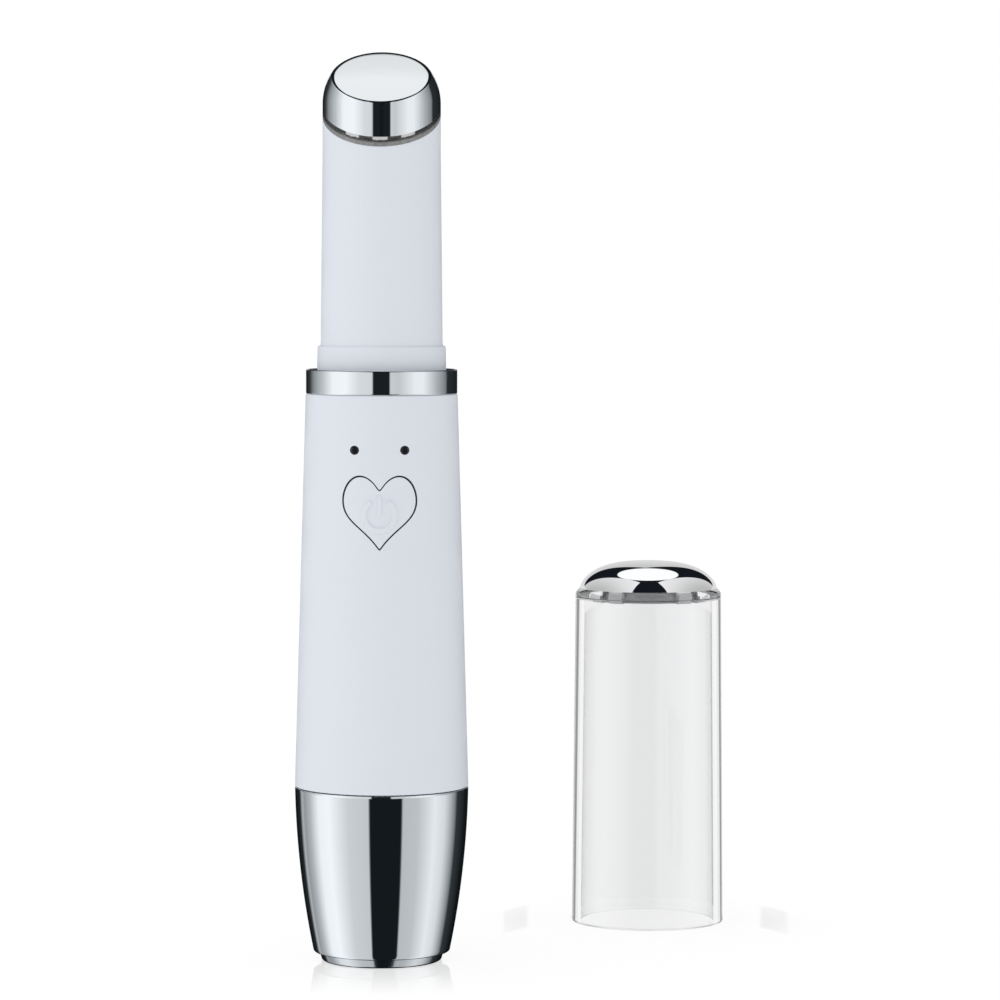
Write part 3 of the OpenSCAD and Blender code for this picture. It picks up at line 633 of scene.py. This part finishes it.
def smokyRingFinish():
    # thin smoky band: clear above, frosted towards its lower edge, with a plain plastic gleam and painted
    # light patches on its front
    material, tree = emptyMaterial("smokyRingPlastic")
    where = objectPlace(tree)
    lean = math.radians(neck["ringTilt"])
    upright = (0, -math.sin(lean), math.cos(lean))
    height = put(tree, "ShaderNodeVectorMath", {0: where, 1: upright}, operation="DOT_PRODUCT")
    start = neck["ringZ"] * math.cos(lean) * mm
    speckle = grain(tree, 2600, 4, where)
    edge = sums(tree, "MULTIPLY_ADD", speckle, ringLook["wobble"] * mm, height.outputs["Value"])
    low, high = ringLook["frostEnd"]
    frosted = fade(tree, edge, start + low * mm, start + high * mm, *ringLook["frostShare"])
    clear = put(tree, "ShaderNodeBsdfTransparent", {"Color": ringLook["clear"]}).outputs[0]
    body = blendShaders(tree, frosted, clear, matt(tree, blendColors(tree, speckle, *ringLook["frost"])))
    # painted light: pale patches blended over the ring's front as the lamps' glow and reflection
    paintedPatches = paintedLightPatches(tree, where, edge, start)
    body = blendShaders(tree, paintedPatches, body, matt(tree, ringLook["paintedLightColor"]))
    share = put(tree, "ShaderNodeFresnel", {"IOR": 1.45}).outputs[0]
    surface = blendShaders(tree, share, body, gloss(tree, ringLook["gleam"]))
    put(tree, "ShaderNodeOutputMaterial", {"Surface": surface})
    return material


satinWhite = whitePlasticFinish()
chrome = chromeFinish("chromePlate", 0.012, 0.03, (0.985, 0.99, 1.0, 1))
softChrome = chromeFinish("satinChromePlate", 0.10, 0.16, (0.80, 0.81, 0.83, 1))
clearPlastic = clearPlasticFinish()
clipPlastic = simpleFinish("greyClipPlastic", (0.80, 0.81, 0.82, 1), roughness=0.25, scale=500, coat=0.4)
smokyClear = smokyRingFinish()
darkLens = simpleFinish("darkLensPlastic", (0.012, 0.012, 0.014, 1), roughness=0.16, scale=900, coat=0.5,
                        bump=0.00001)
print("finishes ready")


# ---- base cup and foot ----

base = {"footH": 1.5, "footR": 10.1, "footTaper": 0.4, "footEdge": 0.35, "rimZ": 28.35, "rimR": 14.1,
        "rimEdge": 0.08, "curveR": 145, "curveRise": 2.7, "wall": 1.4, "floor": 1.75, "edge": 0.25,
        "boreR": 12.03, "nestR": 5.4, "nestT": 0.9, "nestH": 1.6}


def baseOuterR(z):
    drop = base["rimZ"] + base["curveRise"] - z
    return base["rimR"] - base["curveR"] + math.sqrt(base["curveR"] ** 2 - drop ** 2)


def buildBase():
    low = base["footH"]
    halfFloor = low + base["floor"] / 2
    floorTop = low + base["floor"]
    recessR = base["footR"] / 2 + 0.1
    outside = [(baseOuterR(z), z) for z in [low + (base["rimZ"] - low) * i / 40 for i in range(41)]]
    inside = [(min(base["boreR"], baseOuterR(z) - base["wall"]), z)
              for z in [base["rimZ"] - (base["rimZ"] - floorTop) * i / 24 for i in range(25)]]
    profile = [(0, halfFloor), (recessR, halfFloor), (recessR, low)] + outside + inside + [(0, floorTop)]
    rimAt = 2 + len(outside)
    shell = turned(profile, 256, [(3, base["edge"]), (rimAt, base["rimEdge"])])
    # open nest for the spring
    inner, outer = base["nestR"], base["nestR"] + base["nestT"]
    nest = turned([(inner, floorTop - 0.1), (outer, floorTop - 0.1), (outer, floorTop + base["nestH"]),
                   (inner, floorTop + base["nestH"])], 96)
    nest = combined(nest, box((0.4, 5.2), (0, 12), (floorTop - 0.5, floorTop + 4)))
    finished("basePullCup", joined(shell, nest), chrome, "base", ["base_cup"], 24)
    footR, taper = base["footR"], base["footTaper"]
    plate = turned([(0, 0), (footR - taper, 0), (footR, low), (footR / 2, low),
                    (footR / 2, halfFloor - 0.1), (0, halfFloor - 0.1)], 192, [(1, base["footEdge"])])
    finished("footDisc", plate, softChrome, "base", ["foot_plate"])


buildBase()


# ---- barrel with the heart opening ----

barrel = {"lowZ": 28.45, "topZ": 92.1, "lowR": 14.08, "topR": 12.28, "lowEdge": 0.3, "topEdge": 0.22,
          "wall": 1.8, "topT": 2.2, "skirtRise": 8, "skirtStep": 0.5, "spigotR": 9.95}
lens = {"x": 4, "z": 83.45, "r": 0.68, "ease": 0.05, "sunk": 0.12, "back": 5.1, "edge": 0.25, "lip": 0.5,
        "lipT": 0.8, "lipGap": 0.2}
heart = {"halfW": 5.94, "height": 9.72, "notchZ": 77.12, "gap": 0.23, "ease": 0.06,
         "points": 128, "smoothing": 6,
         "across": ((1, 0.85), (3, -0.18), (5, -0.02)),              # sine waves: (number, share)
         "up": ((1, 0.57), (2, -0.16), (3, -0.075), (4, -0.06)),     # cosine waves
         "rise": 0.085, "drop": 0.36}


def barrelR(z):
    b = barrel
    return b["lowR"] + (b["topR"] - b["lowR"]) * (z - b["lowZ"]) / (b["topZ"] - b["lowZ"])


def heartBar(inset, front, back):
    # the heart's outline, drawn in by a gap for the button, pushed through the wall along Y
    bm = bmesh.new()
    corners = []
    share = 1 - 0.5 * inset / heart["halfW"]
    for i in range(heart["points"]):
        t = math.tau * i / heart["points"]
        x = share * heart["halfW"] * sum(part * math.sin(n * t) for n, part in heart["across"])
        up = sum((part * math.cos(n * t) for n, part in heart["up"]), heart["rise"])
        z = share * heart["height"] * up - heart["drop"] * heart["height"]
        corners.append(bm.verts.new((x, -front, heart["notchZ"] + z)))
    face = bm.faces.new(corners)
    for _ in range(heart["smoothing"]):  # rounds the notch and the tip
        bmesh.ops.smooth_vert(bm, verts=corners, factor=0.5, use_axis_x=True, use_axis_z=True)
    if inset > 0:
        rim = bmesh.ops.inset_region(bm, faces=[face], thickness=0.6 * inset, use_even_offset=True,
                                     use_boundary=True)
        bmesh.ops.delete(bm, geom=rim["faces"], context="FACES")
        face = bm.faces[:][0]
    grown = bmesh.ops.extrude_face_region(bm, geom=[face])
    bmesh.ops.translate(bm, vec=(0, front - back, 0), verts=grownVerts(grown))
    bmesh.ops.recalc_face_normals(bm, faces=bm.faces)
    return bm


def buildLens(name, x):
    # light guide with a flange behind the wall
    outerR = barrelR(lens["z"])
    front = math.sqrt(outerR ** 2 - x ** 2)
    flangeR = lens["r"] + lens["lip"]
    lip = math.sqrt((outerR - barrel["wall"]) ** 2 - (lens["x"] + flangeR) ** 2) - lens["lipGap"]
    guide = bar(lens["r"], x, lens["z"], front - lens["sunk"], lens["back"], 48)
    rim = [e for e in guide.edges if all(v.co.y < -front + 0.2 for v in e.verts)]
    roundEdges(guide, rim, lens["edge"], 4)
    flange = bar(flangeR, x, lens["z"], lip, lip - lens["lipT"], 48)
    finished("indicatorGuide." + name, joined(guide, flange), darkLens, "wand", ["indicator_lens_" + name],
             40)


def buildBarrel():
    b = barrel
    shoulderZ = b["lowZ"] + b["skirtRise"]
    innerTop = b["topZ"] - b["topT"]
    shoulderR = barrelR(shoulderZ) - b["wall"]
    skirtR = shoulderR + b["skirtStep"]
    shell = turned([(skirtR, b["lowZ"]), (b["lowR"], b["lowZ"]), (b["topR"], b["topZ"]),
                    (b["spigotR"], b["topZ"]), (b["spigotR"], innerTop),
                    (barrelR(innerTop) - b["wall"], innerTop), (shoulderR, shoulderZ),
                    (skirtR, shoulderZ)], 256, [(1, b["lowEdge"]), (2, b["topEdge"])])
    before = b["lowR"] + 2
    holes = [bar(lens["r"] + lens["ease"], x, lens["z"], before, 6) for x in (-lens["x"], lens["x"])]
    cutters = joined(heartBar(-heart["ease"], before, 5), *holes)
    finished("barrelShell", combined(shell, cutters), satinWhite, "wand", ["barrel"], 35)
    buildLens("left", -lens["x"])
    buildLens("right", lens["x"])


buildBarrel()


# ---- heart button with its raised power symbol ----

button = {"centerZ": 73.65, "symbolZ": 73.15, "plungerFront": 7.0, "flangeBack": 7.4, "flangeT": 0.8,
          "stemR": 1.4, "symbolR": 2.92, "line": 0.86, "raise": 0.2, "gapAngle": 33, "sink": 0.3,
          "edge": 0.11, "barHalf": 0.38, "barZ": (-0.2, 3.1), "barRound": 0.34}


def symbolRing():
    # ring of the symbol, open at its top; it lies in the XZ plane with its crest towards -Y
    s = button
    outer, inner = s["symbolR"], s["symbolR"] - s["line"]
    ring = bmesh.new()
    profile = [(outer, -s["raise"]), (inner, -s["raise"]), (inner, s["sink"]), (outer, s["sink"])]
    corners = [ring.verts.new((x, y, 0)) for x, y in profile]
    ring.faces.new(corners)
    roundCorner(ring, [corners[0], corners[1]], s["edge"], 3)
    start = math.radians(90 - s["gapAngle"])
    bmesh.ops.rotate(ring, cent=(0, 0, 0), matrix=Matrix.Rotation(-start, 3, "Y"), verts=ring.verts)
    bmesh.ops.spin(ring, geom=everything(ring), cent=(0, 0, 0), axis=(0, 1, 0),
                   angle=math.radians(360 - 2 * s["gapAngle"]), steps=72)
    return ring


def symbolBar():
    # upright bar of the symbol with round ends
    s = button
    upright = box((-s["barHalf"], s["barHalf"]), (-s["raise"], s["sink"]), s["barZ"])
    corners = [e for e in upright.edges if abs(e.verts[0].co.y - e.verts[1].co.y) > 0.3]
    roundEdges(upright, corners, s["barRound"], 6)
    crest = [e for e in upright.edges if all(v.co.y < -s["raise"] + 0.001 for v in e.verts)]
    roundEdges(upright, crest, s["edge"], 3)
    return upright


def buildButton():
    s, b = button, barrel
    front = s["flangeBack"] + s["flangeT"]
    cone = turned([(0, b["lowZ"]), (b["lowR"], b["lowZ"]), (b["topR"], b["topZ"]), (0, b["topZ"])], 256)
    top = combined(heartBar(heart["gap"], b["lowR"] + 2, front - 0.1), cone, "INTERSECT")
    symbol = joined(symbolRing(), symbolBar())
    bmesh.ops.holes_fill(symbol, edges=symbol.edges, sides=0)
    for v in symbol.verts:  # lay the flat symbol on the cone
        v.co.z += s["symbolZ"]
        v.co.y -= math.sqrt(barrelR(v.co.z) ** 2 - v.co.x ** 2)
    bmesh.ops.recalc_face_normals(symbol, faces=symbol.faces)
    flange = bar(heart["halfW"] + 1, 0, s["centerZ"], front, s["flangeBack"], 96)
    stem = bar(s["stemR"], 0, s["centerZ"], s["flangeBack"] + 0.1, s["plungerFront"] + 0.05, 48)
    finished("heartButton", joined(top, symbol, flange, stem), satinWhite, "button", ["power_button"],
             35)


buildButton()
print("base, barrel and button ready")


# ---- collar, neck, light ring, head ----

head = {"tilt": 34.5, "dist": 5.4, "filletFront": 0.5, "filletBack": 2.6, "crown": 0.3, "wall": 0.9,
        "domeEnd": 155, "drops": (0.25, 6.75)}
ringTopZ = neck["ringZ"] + neck["ringT"] / math.cos(math.radians(neck["ringTilt"]))
domeZ = ringTopZ + neck["domeRise"]


def buildCollar():
    inner, outer, low, high = barrel["spigotR"], neck["collarR"], barrel["topZ"], neck["collarTop"]
    ring = turned([(inner, low), (outer, low), (outer, high), (inner, high)], 256, [(1, 0.24), (2, 0.24)])
    finished("collarBand", ring, chrome, "wand", ["collar_ring"], 40)


def bulletLine():
    # upright side of the head that bends into the dome, as far as the light ring reaches
    return [(neck["headR"] * math.cos(a), domeZ + neck["headR"] * math.sin(a))
            for a in [math.radians(35) * i / 16 for i in range(17)]]


def buildNeck():
    n = neck
    bore = n["headR"] - n["wall"]
    spigotZ = barrel["topZ"] - barrel["topT"]
    ledge = n["stepTop"] + 1.2
    taperTop = n["ringZ"] - 0.6 * n["headR"]
    top = bulletLine()
    topZ = top[-1][1]
    tube = turned([(bore - 0.5, spigotZ), (n["spigotR"], spigotZ), (n["spigotR"], n["collarTop"]),
                   (n["stepR"], n["collarTop"]), (n["stepTopR"], n["stepTop"]),
                   (n["neckR"] + 0.08, n["stepTop"]), (n["neckR"], n["stepTop"] + 0.6),
                   (n["headR"], taperTop)] + top +
                  [(bore - 0.6, topZ), (bore, topZ - 3), (bore, ledge), (bore - 0.5, ledge)],
                  256, [(4, 0.28), (5, 0.06)])
    sliced(tube, n["ringZ"], n["ringTilt"])
    rimR = n["headR"] - 0.1
    outerRim = [e for e in tube.edges if not e.is_boundary and abs(e.calc_face_angle(0)) > 0.5
                and all(v.co.z > taperTop - 2 and math.hypot(v.co.x, v.co.y) > rimR for v in e.verts)]
    roundEdges(tube, outerRim, 0.14, 3)
    bmesh.ops.recalc_face_normals(tube, faces=tube.faces)
    finished("neckTube", tube, satinWhite, "wand", ["neck_tube"])


def buildLightRing():
    n = neck
    top = bulletLine()
    ring = turned([(n["ringBore"], 120), (n["headR"], 120)] + top + [(n["ringBore"], top[-1][1])], 192)
    sliced(ring, n["ringZ"], n["ringTilt"], "above")
    sliced(ring, ringTopZ, n["ringTilt"], "below")
    bmesh.ops.recalc_face_normals(ring, faces=ring.faces)
    finished("lightRing", ring, smokyClear, "wand", ["light_ring"])


def headPoint(station, fillet):
    # station 0-1 crosses the crowned face, 1-2 its rounded edge, 2-3 the dome
    r = neck["headR"]
    filletH = head["dist"] - fillet
    filletR = math.sqrt((r - fillet) ** 2 - filletH ** 2)
    meet = math.atan2(filletR, filletH)
    lean = 2 * head["crown"] / filletR
    if station < 1:
        edge = (filletR + fillet * math.sin(lean), filletH + fillet * math.cos(lean))
        return edge[0] * station, edge[1] + head["crown"] * (1 - station ** 2)
    if station <= 2:
        a = lean + (meet - lean) * (station - 1)
        return filletR + fillet * math.sin(a), filletH + fillet * math.cos(a)
    a = meet + (math.radians(head["domeEnd"]) - meet) * (station - 2)
    return r * math.sin(a), r * math.cos(a)


def buildHead():
    bm = bmesh.new()
    station = bm.verts.layers.float.new("station")
    stations = [i / 14 for i in range(14)] + [1 + i / 14 for i in range(15)]
    stations += [2 + i / 40 for i in range(1, 41)]
    line = []
    for value in stations:
        across, up = headPoint(value, head["filletFront"])
        vert = bm.verts.new((across, 0, up))
        vert[station] = value
        line.append(vert)
    for a, b in zip(line, line[1:]):
        bm.edges.new((a, b))
    spun(bm, 256)
    for v in bm.verts:  # the edge of the face is softer towards the back
        turn = math.atan2(v.co.y, v.co.x)
        share = (0.5 + 0.5 * math.sin(turn)) ** 1.5
        fillet = head["filletFront"] + (head["filletBack"] - head["filletFront"]) * share
        across, up = headPoint(v[station], fillet)
        v.co = (across * math.cos(turn), across * math.sin(turn), up)
    tilt = Matrix.Rotation(math.radians(head["tilt"]), 3, "X")
    bmesh.ops.rotate(bm, cent=(0, 0, 0), matrix=tilt, verts=bm.verts)
    bmesh.ops.translate(bm, vec=(0, 0, domeZ), verts=bm.verts)
    sliced(bm, domeZ, 0, "above", close=False)
    for drop in head["drops"]:  # a short step keeps the shading of the upright side straight
        wall = bmesh.ops.extrude_edge_only(bm, edges=openEdges(bm))
        bmesh.ops.translate(bm, vec=(0, 0, -drop), verts=grownVerts(wall))
    sliced(bm, ringTopZ, neck["ringTilt"], "above", close=False)
    bmesh.ops.recalc_face_normals(bm, faces=bm.faces)
    bmesh.ops.solidify(bm, geom=bm.faces[:], thickness=head["wall"])
    finished("massageHead", bm, chrome, "wand", ["massage_head"], 40)


buildCollar()
buildNeck()
buildLightRing()
buildHead()
print("collar, neck and head ready")


# ---- clear cap and its chrome end ----

cap = {"at": (44.7, 42), "outerR": 13.07, "wall": 1.55, "draft": 0.55, "height": 62.1, "domeH": 4.6,
       "domeWall": 1.2, "domeInset": 0.75, "lip": 0.05, "lipH": 0.7, "shoulder": 1.2, "shelf": 1.4,
       "shelfR": 8.6, "tabR": 9.8, "tabT": 0.8, "tabW": 2.4, "tabLen": 2.1, "tabTop": 0.7,
       "tabSpread": 11.5}


def domeLine(r, h):
    # flattened dome from its rim to its crown
    angles = [math.pi / 2 * i / 48 for i in range(48)]
    return [(r * math.cos(t) ** 0.7, h * math.sin(t) ** 1.25) for t in angles] + [(0, h)]


def placed(bm, z=0):
    bmesh.ops.translate(bm, vec=(cap["at"][0], cap["at"][1], z), verts=bm.verts)
    return bm


def tabBoxes(grow, low, high):
    # four pairs of snap tabs
    middle, halfT, halfW = cap["tabR"], cap["tabT"] / 2 + grow, cap["tabW"] / 2 + grow
    spread = cap["tabSpread"]
    boxes = []
    for turn in [pair + side for pair in (45, 135, 225, 315) for side in (-spread, spread)]:
        one = box((middle - halfT, middle + halfT), (-halfW, halfW), (low, high))
        about = Matrix.Rotation(math.radians(turn), 3, "Z")
        bmesh.ops.rotate(one, cent=(0, 0, 0), matrix=about, verts=one.verts)
        boxes.append(one)
    return boxes


def buildCap():
    c = cap
    outerR = c["outerR"]
    mouthR = outerR - c["wall"]
    sleeveH = c["height"] - c["domeH"]
    shelfZ = sleeveH - c["shelf"]
    topR = outerR - c["draft"]
    sleeve = turned([(mouthR, 0), (outerR, 0), (outerR, c["lipH"]), (outerR - c["lip"], c["lipH"] + 0.25),
                     (topR, sleeveH), (c["shelfR"], sleeveH), (c["shelfR"], shelfZ),
                     (topR - c["wall"], shelfZ)],
                    256, [(0, 0.25), (1, 0.2), (4, c["shoulder"]), (7, 0.5)])
    sleeve = combined(sleeve, joined(*tabBoxes(0.1, shelfZ - 1, sleeveH + 1)))
    sleeve = finished("capSleeve", placed(sleeve), clearPlastic, "cap", ["cap_sleeve"])
    sleeve.visible_glossy = False  # the base is shielded from the cap beside it
    domeR = topR - c["domeInset"]
    outer = domeLine(domeR, c["domeH"])
    inner = domeLine(domeR - c["domeWall"], c["domeH"] - c["domeWall"])
    dome = placed(turned(outer + inner[::-1], 256), sleeveH)
    finished("capDome", dome, chrome, "cap", ["cap_dome"])
    boreR = c["shelfR"] - 1.1
    plugR = c["shelfR"] - 0.1
    plateR = domeR - c["domeWall"] + 0.3
    plate = turned([(boreR, 0.01), (plateR, 0.01), (plateR, 0.8), (boreR, 0.8)], 128)
    low, high = -c["tabLen"], c["tabTop"]
    plug = turned([(boreR, low), (plugR, low), (plugR, high), (boreR, high)], 128, [(1, 0.2)])
    clips = joined(plate, plug, *tabBoxes(0, low, high))
    finished("capClips", placed(clips, sleeveH), clipPlastic, "cap")


buildCap()
print("cap ready")


# ---- finishes of the inner parts, which keep their own shapes ----

innerLooks = {
    "innerWhite": ((0.72, 0.73, 0.72, 1), dict(roughness=0.5), ["chassis", "motor_cradle", "head_carrier"]),
    "blackMoulding": ((0.025, 0.025, 0.028, 1), dict(roughness=0.42),
                      ["switch_housing", "switch_plunger", "controller_chip", "motor_end_cap",
                       "thermistor"]),
    "brightSteel": ((0.62, 0.62, 0.63, 1), dict(roughness=0.28, metallic=1.0),
                    ["board_screws", "battery_spring", "motor_case", "motor_shaft"]),
    "springBrass": ((0.78, 0.60, 0.30, 1), dict(roughness=0.3, metallic=1.0),
                    ["positive_contact", "spring_contact_plate", "contact_strip", "eccentric_weight"]),
    "copperCore": ((0.80, 0.42, 0.26, 1), dict(roughness=0.36, metallic=1.0), ["motor_armature"]),
    "blackRubber": ((0.03, 0.03, 0.032, 1), dict(roughness=0.75, scale=500),
                    ["seal_ring", "motor_sleeve", "head_leads"]),
    "cellJacket": ((0.30, 0.33, 0.36, 1), dict(roughness=0.3, metallic=0.7), ["battery_cell"]),
    "ledWhite": ((0.92, 0.92, 0.88, 1), dict(roughness=0.25, coat=0.4), ["indicator_leds", "head_leds"]),
    "heaterFoil": ((0.72, 0.40, 0.14, 1), dict(roughness=0.38, coat=0.3), ["heater_film"]),
    "redLead": ((0.55, 0.03, 0.025, 1), dict(roughness=0.45), ["motor_leads"]),
}


def boardFinish(name, mask, track, scale):
    # lacquered board with a faint pattern of copper tracks under the mask
    material, tree, shader = newMaterial(name)
    tracks = put(tree, "ShaderNodeTexBrick", {"Vector": objectPlace(tree), "Scale": scale,
                                              "Color1": (0, 0, 0, 1), "Color2": (0.25, 0.25, 0.25, 1),
                                              "Mortar": white, "Mortar Size": 0.03, "Mortar Smooth": 0.3})
    color = blendColors(tree, times(tree, tracks.outputs["Fac"], 0.6), mask, track)
    tree.links.new(color, shader.inputs["Base Color"])
    shader.inputs["Roughness"].default_value = 0.35
    shader.inputs["Coat Weight"].default_value = 0.4
    relief(tree, shader, tracks.outputs["Fac"], 0.00002)
    return material


def dress(node, material):
    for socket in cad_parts[node].material_slots:
        socket.material = material


for name, (color, settings, nodes) in innerLooks.items():
    finish = simpleFinish(name, color, **settings)
    for node in nodes:
        dress(node, finish)
dress("main_board", boardFinish("greenBoard", (0.02, 0.16, 0.07, 1), (0.06, 0.28, 0.12, 1), 420))
dress("led_board", boardFinish("brownBoard", (0.30, 0.16, 0.12, 1), (0.45, 0.28, 0.2, 1), 300))
print("inner parts dressed")
